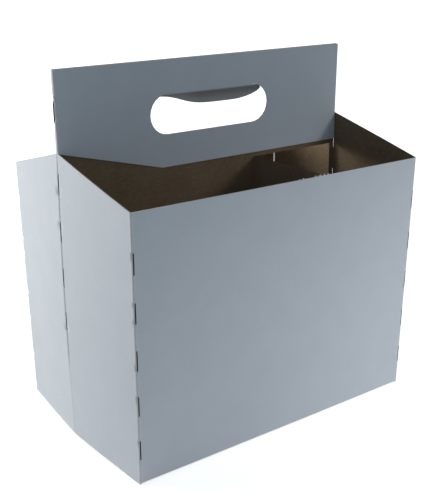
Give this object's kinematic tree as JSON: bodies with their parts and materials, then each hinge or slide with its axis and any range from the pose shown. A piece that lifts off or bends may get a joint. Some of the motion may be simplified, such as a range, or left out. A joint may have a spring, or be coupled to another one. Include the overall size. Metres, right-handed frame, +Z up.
{
  "type": "bottle carrier",
  "caption": "Folded paperboard carrier with a bottle cell in each of two rows of three, cross partitions and a tall centre handle with a flapped hand hole.",
  "frame": {"origin": "under the middle of the carrier, on the ground", "axes": "+X along the carrier, +Y from the front panel to the rear one, +Z up"},
  "size_m": [0.2007, 0.1298, 0.2114],
  "materials": {
    "board": "matt clay-coated white outside, brown kraft inside"
  },
  "bodies": {
    "carrier": {"carrier": "board"},
    "finger_flap": {"finger_flap": "board"}
  },
  "joints": [
    {"name": "flap_fold", "type": "hinge", "parent": "carrier", "child": "finger_flap", "pos_m": [-0.0026, -0.0009, 0.1921], "axis": [1, 0, 0], "range_deg": [-62, 28]}
  ]
}
